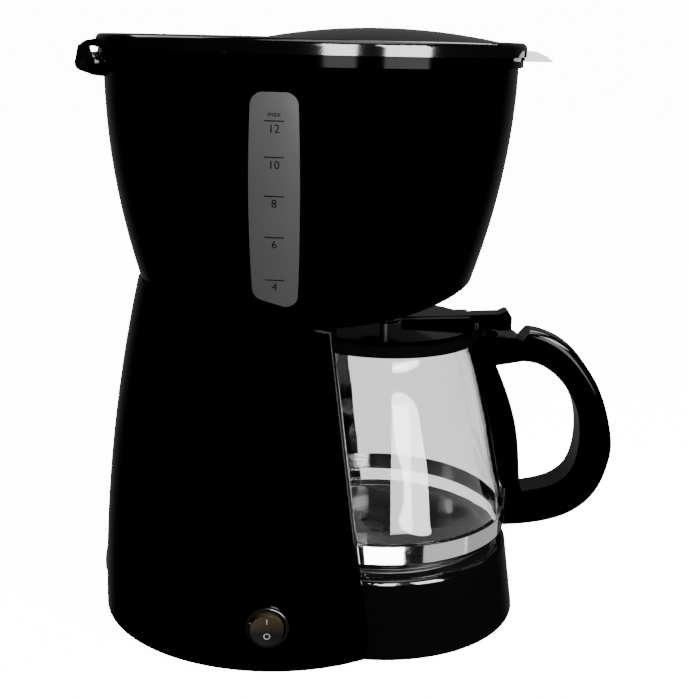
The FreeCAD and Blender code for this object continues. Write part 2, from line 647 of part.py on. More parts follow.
def make_tower_shell():
    outer = tower_form(FOOT_H, SEAM_Z + SEAM_RISE + 12, 0).cut(in_front_of_lips(0))
    edges = []
    for edge in outer.Edges:
        box = edge.BoundBox
        if box.ZLength > SEAM_Z / 2 and abs(box.YMin - lip_y(FOOT_H)) < 2 and box.YLength < SEAM_Z / 4:
            edges.append(edge)
    outer = outer.makeFillet(LIP_R, edges)
    outer = outer.cut(block(-BIG, BIG, -BIG, BIG, -BIG, FOOT_H))
    inner = tower_form(FOOT_H - 1, SEAM_Z + SEAM_RISE + 13, WALL).cut(in_front_of_lips(WALL))
    room = inner.common(below_seam(-SEAM_GAP - WALL))
    opening = prism(housing_oval(SEAM_Z, 10), BIG / 2)
    opening.translate(Vector(0, 0, -50))
    shell = outer.common(below_seam(-SEAM_GAP)).cut(room).cut(opening)
    panel_room = cylinder(CAVITY_R + THIN_WALL + FEW, BIG, 0, 0, DECK_Z - DECK_T - FEW)
    shell = shell.cut(panel_room).cut(drum_form(-0.3, FOOT_H - 1))
    recess_x = SWITCH_FACE_X + SWITCH_RECESS
    recess = cylinder(SWITCH_RECESS_R, BIG, recess_x, SWITCH_Y, SWITCH_Z, Vector(-1, 0, 0))
    pad = cylinder(SWITCH_RECESS_R + 2, WALL + 1.6, SWITCH_FACE_X + 0.6, SWITCH_Y, SWITCH_Z, Vector(1, 0, 0))
    switch_hole = cylinder(SWITCH_R - 1.0, BIG, SWITCH_FACE_X + 30, SWITCH_Y, SWITCH_Z, Vector(-1, 0, 0))
    pad = pad.common(tower_form(FOOT_H, SEAM_Z, 0.2))
    shell = shell.fuse(pad).cut(recess).cut(switch_hole)
    gland = cylinder(GLAND_BORE_R + 2.4, 60, 0, HINGE_Y - 30, GLAND_Z, Vector(0, 1, 0))
    bosses = [boss(x, TOWER_BOSS_Y, FLOOR_TOP + 26, tower_form(FOOT_H, SEAM_Z, 1.0))
              for x in (-TOWER_BOSS_X, TOWER_BOSS_X)]
    return biggest(shell.cut(gland).fuse(bosses))


def boss(x, y, top, form):
    """Screw post with a rib out to the wall of form."""
    post = cylinder(BOSS_R, top - FLOOR_TOP, x, y, FLOOR_TOP)
    web = block(0, 26, -1, 1, FLOOR_TOP, top)
    web.rotate(Vector(0, 0, 0), Vector(0, 0, 1), 0 if x > 0 else 180)
    web.translate(Vector(x, y, 0))
    return post.fuse(web.common(form)).cut(cylinder(SCREW_R, 16, x, y, 0))


def make_cavity_wall():
    """Curved panel behind the jug, between the tower's lips."""
    panel = ring(CAVITY_R + THIN_WALL, CAVITY_R, SEAM_Z - SEAM_GAP - DECK_Z, 0, 0, DECK_Z + 0.05)
    panel = panel.cut(in_front_of_lips(0.6))
    return biggest(panel.common(tower_form(FOOT_H, SEAM_Z + 20, WALL + 0.2).fuse(
        cylinder(CAVITY_R + 1.0, BIG, 0, 0, 0))))


def make_base_drum():
    wall = drum_form(0, FOOT_H).cut(drum_form(WALL, FOOT_H - 1)).common(in_front_of_lips(DRUM_TAIL))
    shelf = cylinder(CAVITY_R + THIN_WALL, DECK_T, 0, 0, DECK_Z - DECK_T).cut(in_front_of_lips(WALL + 0.3))
    round_top = drum_form(0, FOOT_H).common(block(-BIG, BIG, -BIG, BIG, DECK_Z - DECK_T, DECK_Z))
    drum = wall.fuse([shelf, round_top])
    posts = [boss(x, DRUM_BOSS_Y, DECK_Z - 12, drum_form(1.0, FOOT_H)) for x in (-DRUM_BOSS_X, DRUM_BOSS_X)]
    hole = cylinder(PLATE_R + 0.4, BIG, 0, 0, DECK_Z - DECK_T - 1)
    return drum.fuse(posts).cut(hole).removeSplitter()


def make_base_plate():
    """Floor of the base, let in between the shells' walls."""
    middle, half_length, half_width = tower_axes(FOOT_H + BASE_PLATE_T)
    inset = WALL + 0.3
    back = prism(oval(middle, half_length - inset, half_width - inset, FOOT_H), BASE_PLATE_T)
    back = back.cut(in_front_of_lips(DRUM_TAIL + 0.5))
    front = cylinder(DRUM_R - inset - 0.4, BASE_PLATE_T, 0, 0, FOOT_H)
    plate = back.fuse(front)
    for hole_x, hole_y in SCREW_PLACES:
        plate = plate.cut(cylinder(SCREW_R + 0.3, 10, hole_x, hole_y, 0))
    return plate


def make_feet():
    return Part.makeCompound([cylinder(FOOT_R, FOOT_H, x, y, 0) for x, y in FOOT_PLACES])


def base_screw(x, y):
    head = cylinder(3.2, 1.2, x, y, FOOT_H - 1.2)
    return head.fuse(cylinder(SCREW_R - 0.02, 12, x, y, FOOT_H - 0.2)).removeSplitter()


def make_base_screws():
    return Part.makeCompound([base_screw(x, y) for x, y in SCREW_PLACES])


# ================================================================ heat
def horseshoe(radius, z, rear_y):
    """Round bar bent along the heater's U."""
    arms = [cylinder(radius, rear_y - HEATER_FRONT_Y, x, HEATER_FRONT_Y, z, Vector(0, 1, 0))
            for x in (-HEATER_ARM_X, HEATER_ARM_X)]
    bend = Part.makeTorus(HEATER_ARM_X, radius, Vector(0, HEATER_FRONT_Y, z), Vector(0, 0, 1))
    bend = bend.common(block(-BIG, BIG, -BIG, HEATER_FRONT_Y, -BIG, BIG))
    return bend.fuse(arms).removeSplitter()


def make_warming_plate():
    disc = cylinder(PLATE_R, PLATE_T, 0, 0, CASTING_TOP)
    rim = ring(PLATE_R, PLATE_R - 1.2, 3.0, 0, 0, CASTING_TOP - 2.2)
    top = disc.fuse(rim).removeSplitter()
    edge = [e for e in top.Edges if e.BoundBox.ZMin > PLATE_TOP - 0.05]
    return top.makeFillet(0.8, edge)


def make_plate_gasket():
    return ring(PLATE_R + 6, PLATE_R + 0.2, 1.6, 0, 0, DECK_Z - DECK_T - 1.65)


def make_heater_casting():
    half = HEATER_W / 2
    bottom = CASTING_Z
    arms = [block(x - half, x + half, HEATER_FRONT_Y, HEATER_REAR_Y, bottom, CASTING_TOP - 0.05)
            for x in (-HEATER_ARM_X, HEATER_ARM_X)]
    bend = ring(HEATER_ARM_X + half, HEATER_ARM_X - half, CASTING_H - 0.05, 0, HEATER_FRONT_Y, bottom)
    bend = bend.common(block(-BIG, BIG, -BIG, HEATER_FRONT_Y, -BIG, BIG))
    body = bend.fuse(arms).removeSplitter()
    body = body.cut(horseshoe(WATER_TUBE_R + 0.03, WATER_Z, HEATER_REAR_Y + 5))
    return body.cut(horseshoe(ELEMENT_R + 0.03, ELEMENT_Z, HEATER_REAR_Y + 5))


def make_water_tube():
    return horseshoe(WATER_TUBE_R, WATER_Z, HEATER_REAR_Y + 14).cut(
        horseshoe(WATER_TUBE_R - 0.8, WATER_Z, HEATER_REAR_Y + 15))


def make_heating_element():
    rods = horseshoe(ELEMENT_R, ELEMENT_Z, HEATER_REAR_Y + 1.5)
    tips = [cylinder(1.2, 11, x, HEATER_REAR_Y + 1, ELEMENT_Z, Vector(0, 1, 0))
            for x in (-HEATER_ARM_X, HEATER_ARM_X)]
    return rods.fuse(tips).removeSplitter()


def make_heater_bracket():
    """Steel strap that clamps the casting up against the plate."""
    bottom = CASTING_Z
    half = HEATER_ARM_X + HEATER_W / 2 + 1.5
    strap = block(-half, half, BRACKET_Y - 7, BRACKET_Y + 7, bottom - 1.3, bottom - 0.05)
    feet = [block(min(s * half, s * (half + 9)), max(s * half, s * (half + 9)),
                  BRACKET_Y - 7, BRACKET_Y + 7, bottom - 1.3, bottom - 0.05) for s in (-1, 1)]
    strap = strap.fuse(feet)
    for x in (-STRAP_HALF + 2, STRAP_HALF - 2):
        strap = strap.cut(cylinder(1.8, 10, x, BRACKET_Y, bottom - 5))
    return strap.removeSplitter()


def make_heater_studs():
    """Threaded studs welded under the plate, with the nuts that hold the strap."""
    bottom = CASTING_Z
    studs = []
    for x in (-STRAP_HALF + 2, STRAP_HALF - 2):
        stud = cylinder(1.6, CASTING_TOP - bottom + 6, x, BRACKET_Y, bottom - 6.05)
        turns = [math.radians(60 * i) for i in range(6)]
        corners = [Vector(x + NUT_R * math.cos(a), BRACKET_Y + NUT_R * math.sin(a), bottom - 4.0)
                   for a in turns]
        nut = Part.Face(Part.makePolygon(corners + corners[:1])).extrude(Vector(0, 0, 2.65))
        studs.append(stud.fuse(nut))
    return Part.makeCompound(studs)


def make_thermostat():
    body = cylinder(8.0, 9.0, 0, BRACKET_Y, CASTING_TOP - 9.05)
    tabs = [block(x - 2.4, x + 2.4, BRACKET_Y - 0.4, BRACKET_Y + 0.4, CASTING_TOP - 14, CASTING_TOP - 9)
            for x in (-4.5, 4.5)]
    return body.fuse(tabs).removeSplitter()


def make_thermal_fuses():
    return Part.makeCompound([
        cylinder(2.2, 14, x, y, CASTING_TOP - 8, Vector(0, 1, 0))
        for x, y in ((-6, -6), (6, -6))])


# ================================================================ water
def make_cold_hose():
    top = SEAM_Z + SEAM_RISE - 12
    route = [(TANK_SPIGOT_X, HEATER_REAR_Y + 2, WATER_Z), (TANK_SPIGOT_X, TANK_SPIGOT_Y, WATER_Z),
             (TANK_SPIGOT_X, TANK_SPIGOT_Y, top)]
    return tube(route, WATER_TUBE_R + HOSE_T, WATER_TUBE_R + 0.03, 16)


def make_hot_hose():
    x = HEATER_ARM_X
    route = [(x, HEATER_REAR_Y + 2, WATER_Z), (x, RISER_Y + 4, WATER_Z), (x, RISER_Y + 4, SEAM_Z / 2),
             (0, RISER_Y, SEAM_Z * 0.72), (0, RISER_Y, SEAM_Z * 0.9)]
    return tube(route, WATER_TUBE_R + HOSE_T, WATER_TUBE_R + 0.03, 14)


def make_check_valve():
    """Non-return cartridge inside the cold hose."""
    z = SEAM_Z * 0.55
    body = cylinder(WATER_TUBE_R, 14, TANK_SPIGOT_X, TANK_SPIGOT_Y, z)
    return body.cut(cylinder(1.8, 14, TANK_SPIGOT_X, TANK_SPIGOT_Y, z))


def make_riser_tube():
    bottom = SEAM_Z * 0.82
    return ring(RISER_R, RISER_R - 1.0, SPOUT_TOP - 7 - bottom, 0, RISER_Y, bottom)


def make_outlet_spout():
    foot = DECK_PLATE_Z + THIN_WALL + 0.05
    mouth = BASKET_R + 5.5
    post = cylinder(RISER_R + 2.4, SPOUT_TOP - foot, 0, RISER_Y, foot)
    arm = block(-4.2, 4.2, mouth, RISER_Y, SPOUT_TOP - 4.8, SPOUT_TOP)
    body = post.fuse(arm)
    body = body.cut(cylinder(RISER_R + 0.03, SPOUT_TOP - 7 - foot + 0.03, 0, RISER_Y, foot))
    body = body.cut(cylinder(RISER_R - 1.0, SPOUT_TOP - 2.8 - foot, 0, RISER_Y, foot))
    return body.cut(block(-2.6, 2.6, mouth - 1, RISER_Y, SPOUT_TOP - 3.4, SPOUT_TOP - 1.4)).removeSplitter()


# ================================================================ switch and wiring
def along_x(radius, near, far, y=SWITCH_Y, z=SWITCH_Z):
    """Cylinder along X between two places measured inwards from the tower's face."""
    return cylinder(radius, far - near, SWITCH_FACE_X + near, y, z, Vector(1, 0, 0))


def make_switch_bezel():
    flange = along_x(SWITCH_R, -0.4, SWITCH_RECESS - 0.05)
    sleeve = along_x(SWITCH_R - 1.1, SWITCH_RECESS - 0.1, 9)
    edge = [e for e in flange.Edges if e.BoundBox.XMax < SWITCH_FACE_X - 0.3]
    flange = flange.makeFillet(0.8, edge)
    return flange.fuse(sleeve).cut(along_x(ROCKER_R + 0.9, -5, 20)).removeSplitter()


def make_switch_rocker():
    """Round rocker with two facets that meet in a shallow V, on a pin along Y."""
    disc = along_x(ROCKER_R, -2.0, 6.0)
    ball = Part.makeSphere(26, Vector(SWITCH_FACE_X - 26.6, SWITCH_Y, SWITCH_Z))
    body = disc.cut(ball)
    pivot_x = SWITCH_FACE_X + ROCKER_DEPTH
    reach = ROCKER_R + 0.6
    pin = cylinder(1.2, 2 * reach, pivot_x, SWITCH_Y - reach, SWITCH_Z, Vector(0, 1, 0))
    body.rotate(Vector(pivot_x, SWITCH_Y, SWITCH_Z), Vector(0, 1, 0), ROCKER_REST)
    return body.fuse(pin).removeSplitter()


def make_switch_body():
    barrel = along_x(SWITCH_R - 1.1, 9.05, 24)
    tabs = [block(SWITCH_FACE_X + 23, SWITCH_FACE_X + 31, SWITCH_Y + y - 2.4, SWITCH_Y + y + 2.4,
                  SWITCH_Z - 0.4, SWITCH_Z + 0.4) for y in (-5.5, 0, 5.5)]
    return barrel.fuse(tabs).removeSplitter()


def make_terminal_block():
    z = FLOOR_TOP
    body = block(TERMINALS_X - 16, TERMINALS_X + 16, TERMINALS_Y - 7, TERMINALS_Y + 7, z, z + 14)
    for x in (-10, 0, 10):
        body = body.cut(cylinder(1.9, 30, TERMINALS_X + x, TERMINALS_Y - 15, z + 5, Vector(0, 1, 0)))
        body = body.cut(cylinder(1.6, 10, TERMINALS_X + x, TERMINALS_Y, z + 8))
    return body


def make_leads():
    """Internal leads: switch to terminal block, and both element ends to the block and thermostat."""
    z = FLOOR_TOP + 5
    x = SWITCH_FACE_X + 31.2
    routes = [
        [(x, SWITCH_Y, SWITCH_Z), (x + 14, SWITCH_Y, SWITCH_Z), (x + 16, 80, z + 8), (0, 104, z + 8),
         (TERMINALS_X - 10, 104, z), (TERMINALS_X - 10, TERMINALS_Y - 7.2, z)],
        [(HEATER_ARM_X, HEATER_REAR_Y + 12.8, ELEMENT_Z), (HEATER_ARM_X + 12, 82, ELEMENT_Z),
         (TERMINALS_X + 6, 96, z + 10), (TERMINALS_X, 106, z), (TERMINALS_X, TERMINALS_Y - 7.2, z)]]
    return Part.makeCompound([rod(route, 1.3, 4.0) for route in routes])


def make_cord_gland():
    """Grommet in the rear wall that a mains lead would come out of."""
    rear = sum(tower_axes(GLAND_Z)[:2])
    inside = cylinder(GLAND_BORE_R + 4.4, 1.6, 0, rear - WALL - 2.4, GLAND_Z, Vector(0, 1, 0))
    barrel = cylinder(GLAND_BORE_R + 2.3, WALL + 1.6, 0, rear - WALL - 1.2, GLAND_Z, Vector(0, 1, 0))
    outside = cylinder(GLAND_BORE_R + 4.4, 0.8, 0, rear + 0.25, GLAND_Z, Vector(0, 1, 0))
    body = inside.fuse([barrel, outside])
    return body.cut(cylinder(GLAND_BORE_R, 30, 0, rear - 15, GLAND_Z, Vector(0, 1, 0))).removeSplitter()


# ================================================================ jug
def make_jug_glass():
    outer = glass_form(0, GLASS_BASE_Z, JUG_TOP_Z - 1.5)
    inner = glass_form(GLASS_T, GLASS_BASE_Z + GLASS_T, JUG_TOP_Z + 5)
    return outer.cut(inner)


def make_jug_band():
    """Steel strip round the glass, its two ends turned out as lugs into the handle's foot."""
    strip = ring(JUG_R, BAND_R_IN, BAND_H, 0, 0, BAND_Z)
    lugs = [block(x - BAND_T / 2, x + BAND_T / 2, -JUG_R - LUG_REACH + 1, -JUG_R + BAND_T / 2, BAND_Z + 0.8,
                  BAND_Z + BAND_H - 0.8) for x in (-LUG_GAP, LUG_GAP)]
    split = block(-LUG_GAP, LUG_GAP, -JUG_R - 2, -JUG_R + 2, BAND_Z - 1, BAND_Z + BAND_H + 1)
    band = strip.cut(split).fuse(lugs)
    hole = cylinder(SCREW_R + 0.1, 20, -10, -JUG_R - BAND_SCREW_OUT, BAND_Z + BAND_H / 2, Vector(1, 0, 0))
    return band.cut(hole).removeSplitter()


def make_band_screw():
    y = -JUG_R - BAND_SCREW_OUT
    z = BAND_Z + BAND_H / 2
    half = HANDLE_W / 2
    shank = cylinder(SCREW_R, HANDLE_W - 3, -half + 1.5, y, z, Vector(1, 0, 0))
    head = cylinder(3.0, 1.8, half - 2.2, y, z, Vector(1, 0, 0))
    return shank.fuse(head).removeSplitter()


def make_jug_collar():
    """Ring round the glass rim that carries the handle's top and the lid."""
    outer = cylinder(NECK_R + 2.4, COLLAR_H, 0, 0, NECK_Z)
    return outer.cut(cylinder(NECK_R + FEW, COLLAR_H + 1, 0, 0, NECK_Z - 0.5)).fuse(
        ring(NECK_R + 1, NECK_R - GLASS_T, 1.4, 0, 0, JUG_TOP_Z - 1.4)).removeSplitter()


def handle_at(out, up):
    """A point of the handle's side view: out beyond the band, up from band to neck."""
    return (-JUG_R - out * HANDLE_REACH, BAND_Z + up * (NECK_Z - BAND_Z))


def handle_loop():
    """Side view of the whole handle as two closed outlines: outside and finger gap."""
    inner = [handle_at(*p) for p in HANDLE_INNER]
    neck_y = -NECK_R - 2.0
    rest_z = NECK_Z + 2.2
    low_z = BAND_Z - 4.0
    notch = [(-JUG_R - 0.6, rest_z), (-JUG_R - 3.6, NECK_Z + 0.2), (-JUG_R - 8.0, NECK_Z + 6.0)]
    outer = [notch[2]] + [handle_at(*p) for p in HANDLE_OUTER] + [(-JUG_R + 4, low_z)]
    outside = [
        straight_edge((neck_y + 6, rest_z), notch[0]),
        straight_edge(notch[0], notch[1]),
        straight_edge(notch[1], notch[2]),
        smooth_edge(outer),
        straight_edge((-JUG_R + 4, low_z), (-JUG_R + 4, BAND_Z + 20)),
        straight_edge((-JUG_R + 4, BAND_Z + 20), (neck_y + 6, rest_z - 12)),
        straight_edge((neck_y + 6, rest_z - 12), (neck_y + 6, rest_z))]
    strap_low = (-JUG_R - 7.2, inner[-1][1] + 4)
    strap_high = handle_at(-0.165, 0.87)
    along_glass = [handle_at(0.105, 0.33), handle_at(0.06, 0.52), handle_at(-0.035, 0.70)]
    inside = [
        smooth_edge(inner),
        straight_edge(inner[-1], strap_low),
        smooth_edge([strap_low] + along_glass + [strap_high]),
        straight_edge(strap_high, inner[0])]
    return outside, inside


def handle_split(shape, keep_outer):
    """Divide the loop into its inner shell and the cover that closes it from outside."""
    line = [handle_at(a[0] * PARTING + b[0] * (1 - PARTING), a[1] * PARTING + b[1] * (1 - PARTING))
            for a, b in zip(HANDLE_OUTER, HANDLE_INNER)]
    start, end = line[0], line[-1]
    around = [end, (end[0], -BIG), (-BIG, -BIG), (-BIG, BIG), (start[0], BIG), start]
    edges = [smooth_edge(line)] + [straight_edge(a, b) for a, b in zip(around, around[1:])]
    outside = slab(edges, BIG / 4)
    return shape.common(outside) if keep_outer else shape.cut(outside)


def rounded_slab(outline, radius):
    """The handle's bar with its long outer edges rounded."""
    bar = slab(outline, HANDLE_W / 2)
    long_edges = [e for e in bar.Edges if e.BoundBox.XLength < 0.1 and e.BoundBox.ZLength > 80]
    front_edges = [e for e in long_edges if e.BoundBox.YMin < -JUG_R - 0.9 * HANDLE_REACH]
    return bar.makeFillet(radius, front_edges)


def handle_body():
    outside, inside = handle_loop()
    solid = rounded_slab(outside, HANDLE_ROUND).cut(slab(inside, HANDLE_W))
    glass = glass_form(-0.35, GLASS_BASE_Z - 10, JUG_TOP_Z)
    ring_room = cylinder(NECK_R + 2.4 + FEW, 60, 0, 0, NECK_Z - FEW)
    band_room = cylinder(JUG_R + FEW, BAND_H + 30, 0, 0, BAND_Z - 20)
    return solid.cut(glass).cut(ring_room).cut(band_room)


def make_jug_handle():
    body = handle_split(handle_body(), False)
    y = -JUG_R - BAND_SCREW_OUT
    z = BAND_Z + BAND_H / 2
    slot = block(-LUG_GAP - BAND_T, LUG_GAP + BAND_T, -JUG_R - LUG_REACH, -JUG_R + 5, BAND_Z, BAND_Z + BAND_H)
    body = body.cut(slot)
    body = body.cut(cylinder(SCREW_R + 0.05, BIG, -HANDLE_W / 2 + 1.4, y, z, Vector(1, 0, 0)))
    body = body.cut(cylinder(3.1, 10, HANDLE_W / 2 - 2.3, y, z, Vector(1, 0, 0)))
    lever_slot = block(-LEVER_W / 2 - RUN_GAP, LEVER_W / 2 + RUN_GAP, PIVOT_Y - 8, PIVOT_Y + 30,
                       PIVOT_Z - 3.6, PIVOT_Z + 20)
    body = body.cut(lever_slot)
    ear_x = LEVER_W / 2 + RUN_GAP
    for side in (-1, 1):
        inner_x, outer_x = sorted((side * ear_x, side * HANDLE_W / 2))
        ear = cylinder(PIVOT_R + 2.3, outer_x - inner_x, inner_x, PIVOT_Y, PIVOT_Z, Vector(1, 0, 0))
        root = block(inner_x, outer_x, PIVOT_Y - 6, PIVOT_Y + 3.4, NECK_Z - 4, PIVOT_Z)
        body = body.fuse([ear, root.cut(cylinder(NECK_R + 2.4 + FEW, 60, 0, 0, NECK_Z - FEW))])
    body = body.cut(glass_form(-0.35, GLASS_BASE_Z - 10, JUG_TOP_Z))
    body = body.cut(cylinder(PIVOT_R, BIG, -BIG / 2, PIVOT_Y, PIVOT_Z, Vector(1, 0, 0)))
    return biggest(body)


def make_handle_cover():
    return biggest(handle_split(handle_body(), True))


def make_jug_lid():
    """Disc with a plug skirt inside the neck and a raised boss that works the drip valve."""
    disc = cylinder(NECK_R + 1.6, JUG_LID_T, 0, 0, JUG_TOP_Z + LID_REST)
    plug = ring(NECK_R - GLASS_T - 1.2, NECK_R - GLASS_T - 3.2, 7, 0, 0, JUG_TOP_Z + 0.4 - 7)
    crown = cylinder(8, BOSS_TOP_Z - LID_TOP_Z + 1, 0, 0, LID_TOP_Z - 1)
    lid = disc.fuse([plug, crown]).removeSplitter()
    holes = [cylinder(1.4, 20, 5 * math.cos(a), 5 * math.sin(a), LID_TOP_Z - 10)
             for a in (math.pi / 4 + i * math.pi / 2 for i in range(4))]
    return lid.cut(Part.makeCompound(holes))


def make_lid_lever():
    """Strap fixed on the lid that runs over the pivot and ends in the thumb pad."""
    top = LID_TOP_Z
    front = -JUG_R + 2.0
    strap = slab(polygon_edges([
        (-8.6, top + 0.35), (-8.6, top + 3.0), (-NECK_R + 15, top + 3.9), (front + 7, top + 5.6),
        (front + 3.4, top + 7.4), (front + 1.8, top + 6.8), (front, top + 3.8), (front, top - 2.6),
        (front + 2.0, top - 3.4), (front + 7, top - 3.4), (PIVOT_Y - 3, top - 2.4),
        (PIVOT_Y - 2.8, PIVOT_Z - 2.0), (PIVOT_Y, PIVOT_Z - 3.0),
        (PIVOT_Y + 2.8, PIVOT_Z - 2.0), (PIVOT_Y + 3.2, top + 0.35)]), LEVER_W / 2)
    flap = slab(polygon_edges([
        (-8.6, top + 0.35), (-8.6, top + 2.6), (-NECK_R + 2, top + 4.3), (-NECK_R + 2, top + 0.35)]), LEVER_W)
    strap = strap.fuse(flap)
    return strap.cut(cylinder(PIVOT_R + PIN_GAP, BIG, -BIG / 2, PIVOT_Y, PIVOT_Z, Vector(1, 0, 0)))


def make_lever_pin():
    return cylinder(PIVOT_R, HANDLE_W - 1, -(HANDLE_W - 1) / 2, PIVOT_Y, PIVOT_Z, Vector(1, 0, 0))


# ================================================================ build
PIECES = {
    "upper_housing": make_upper_housing,
    "water_tank": make_water_tank,
    "gauge_window": make_gauge_window,
    "tank_deck": make_deck,
    "filter_housing": make_filter_housing,
    "filter_basket": make_filter_basket,
    "valve_plunger": make_valve_plunger,
    "valve_seal": make_valve_seal,
    "valve_spring": make_valve_spring,
    "lid": make_lid,
    "lid_spreader": make_lid_spreader,
    "hinge_bracket": make_hinge_bracket,
    "hinge_pin": make_hinge_pin,
    "tower_shell": make_tower_shell,
    "cavity_wall": make_cavity_wall,
    "base_drum": make_base_drum,
    "base_plate": make_base_plate,
    "feet": make_feet,
    "base_screws": make_base_screws,
    "warming_plate": make_warming_plate,
    "plate_gasket": make_plate_gasket,
    "heater_casting": make_heater_casting,
    "water_tube": make_water_tube,
    "heating_element": make_heating_element,
    "heater_bracket": make_heater_bracket,
    "heater_studs": make_heater_studs,
    "thermostat": make_thermostat,
    "thermal_fuses": make_thermal_fuses,
    "cold_hose": make_cold_hose,
    "hot_hose": make_hot_hose,
    "check_valve": make_check_valve,
    "riser_tube": make_riser_tube,
    "outlet_spout": make_outlet_spout,
    "switch_bezel": make_switch_bezel,
    "switch_rocker": make_switch_rocker,
    "switch_body": make_switch_body,
    "terminal_block": make_terminal_block,
    "internal_leads": make_leads,
    "cord_gland": make_cord_gland,
    "jug_glass": make_jug_glass,
    "jug_band": make_jug_band,
    "band_screw": make_band_screw,
    "jug_collar": make_jug_collar,
    "jug_handle": make_jug_handle,
    "handle_cover": make_handle_cover,
    "jug_lid": make_jug_lid,
    "lid_lever": make_lid_lever,
    "lever_pin": make_lever_pin,
}

os.makedirs("parts", exist_ok=True)
for piece_name, make_piece in PIECES.items():
    save(piece_name, make_piece())
print("row shift along Y", round(ROW_SHIFT_Y, 3))
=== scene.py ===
import json
import math

import bmesh
import bpy
from mathutils import Matrix, Vector
from mathutils.bvhtree import BVHTree


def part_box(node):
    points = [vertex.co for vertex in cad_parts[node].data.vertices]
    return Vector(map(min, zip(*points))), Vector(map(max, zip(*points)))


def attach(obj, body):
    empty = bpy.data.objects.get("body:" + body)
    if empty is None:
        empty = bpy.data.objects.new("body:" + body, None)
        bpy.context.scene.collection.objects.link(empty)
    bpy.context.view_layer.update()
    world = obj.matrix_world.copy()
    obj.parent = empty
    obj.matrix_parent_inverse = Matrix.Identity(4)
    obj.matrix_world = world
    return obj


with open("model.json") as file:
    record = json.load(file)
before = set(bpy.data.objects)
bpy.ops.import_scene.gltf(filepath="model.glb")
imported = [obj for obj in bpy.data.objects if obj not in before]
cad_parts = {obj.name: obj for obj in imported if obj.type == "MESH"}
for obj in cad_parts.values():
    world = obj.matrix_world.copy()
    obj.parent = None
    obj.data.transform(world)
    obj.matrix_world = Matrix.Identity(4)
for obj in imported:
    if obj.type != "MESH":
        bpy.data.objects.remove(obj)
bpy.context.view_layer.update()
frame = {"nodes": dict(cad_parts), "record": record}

# The maker's drawing is laid out about the jug's axis in millimetres, with the front towards -Y.
# The frame puts the origin in the middle of the whole machine, so shift_y moves a drawing point there.
MM = 0.001
glass_low, glass_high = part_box("jug_glass")
shift_y = (glass_low[1] + glass_high[1]) / 2


# ------------------------------------------------------------------ camera
CAMERA_PITCH = math.radians(14.98)
CAMERA_ROLL = math.radians(1.42)
CAMERA_LENS = 60.82
CAMERA_PLACE = Vector((-0.6215, 0.0214 + shift_y, 0.3123))


def aim_camera():
    """A side view that looks a little down, 0.62 m from the jug's axis."""
    forward = Vector((math.cos(CAMERA_PITCH), 0, -math.sin(CAMERA_PITCH)))
    level_right = Vector((0, -1, 0))
    level_up = level_right.cross(forward)
    right = level_right * math.cos(CAMERA_ROLL) + level_up * math.sin(CAMERA_ROLL)
    up = level_up * math.cos(CAMERA_ROLL) - level_right * math.sin(CAMERA_ROLL)
    data = bpy.data.cameras.new("camera")
    data.lens = CAMERA_LENS
    data.sensor_width = 36
    data.clip_start = 0.01
    camera = bpy.data.objects.new("camera", data)
    bpy.context.scene.collection.objects.link(camera)
    camera.matrix_world = Matrix((
        (right.x, up.x, -forward.x, CAMERA_PLACE.x),
        (right.y, up.y, -forward.y, CAMERA_PLACE.y),
        (right.z, up.z, -forward.z, CAMERA_PLACE.z),
        (0, 0, 0, 1)))
    bpy.context.scene.camera = camera


aim_camera()


# ------------------------------------------------------------------ material parts
def shader(name, colour, roughness, metallic=0.0):
    """A material with its node tree and its main shader."""
    material = bpy.data.materials.new(name)
    material.use_nodes = True
    nodes = material.node_tree.nodes
    main = nodes["Principled BSDF"]
    main.inputs["Base Color"].default_value = (*colour, 1)
    main.inputs["Roughness"].default_value = roughness
    main.inputs["Metallic"].default_value = metallic
    return material, nodes, material.node_tree.links, main


def noise_at(nodes, links, scale, detail=3.0, stretch=(1, 1, 1)):
    """Noise in the piece's own space; scale is in waves per metre."""
    place = nodes.new("ShaderNodeTexCoord")
    mapping = nodes.new("ShaderNodeMapping")
    mapping.inputs["Scale"].default_value = stretch
    noise = nodes.new("ShaderNodeTexNoise")
    noise.inputs["Scale"].default_value = scale
    noise.inputs["Detail"].default_value = detail
    links.new(place.outputs["Object"], mapping.inputs["Vector"])
    links.new(mapping.outputs["Vector"], noise.inputs["Vector"])
    return noise.outputs["Fac"]


def spread(nodes, links, value, low, high):
    """Map a 0 to 1 pattern onto a range."""
    ramp = nodes.new("ShaderNodeMapRange")
    ramp.inputs["From Min"].default_value = 0.3
    ramp.inputs["From Max"].default_value = 0.7
    ramp.inputs["To Min"].default_value = low
    ramp.inputs["To Max"].default_value = high
    links.new(value, ramp.inputs["Value"])
    return ramp.outputs["Result"]


def relief(nodes, links, main, pattern, strength, depth):
    """Raise the surface by a pattern; depth is in metres."""
    bump = nodes.new("ShaderNodeBump")
    bump.inputs["Strength"].default_value = strength
    bump.inputs["Distance"].default_value = depth
    links.new(pattern, bump.inputs["Height"])
    links.new(bump.outputs["Normal"], main.inputs["Normal"])


def moulded(name, colour, low, high, grain=900.0, strength=0.08, depth=0.0002, tint=0.25):
    """Injection-moulded plastic: fine skin texture, patches of wear in the gloss, slight colour drift."""
    material, nodes, links, main = shader(name, colour, (low + high) / 2)
    links.new(spread(nodes, links, noise_at(nodes, links, 22.0, 5.0), low, high), main.inputs["Roughness"])
    mix = nodes.new("ShaderNodeMix")
    mix.data_type = "RGBA"
    mix.inputs["A"].default_value = (*[c * (1 - tint) for c in colour], 1)
    mix.inputs["B"].default_value = (*[min(1.0, c * (1 + tint)) for c in colour], 1)
    links.new(noise_at(nodes, links, 9.0, 4.0), mix.inputs["Factor"])
    links.new(mix.outputs["Result"], main.inputs["Base Color"])
    relief(nodes, links, main, noise_at(nodes, links, grain, 2.0), strength, depth)
    return material


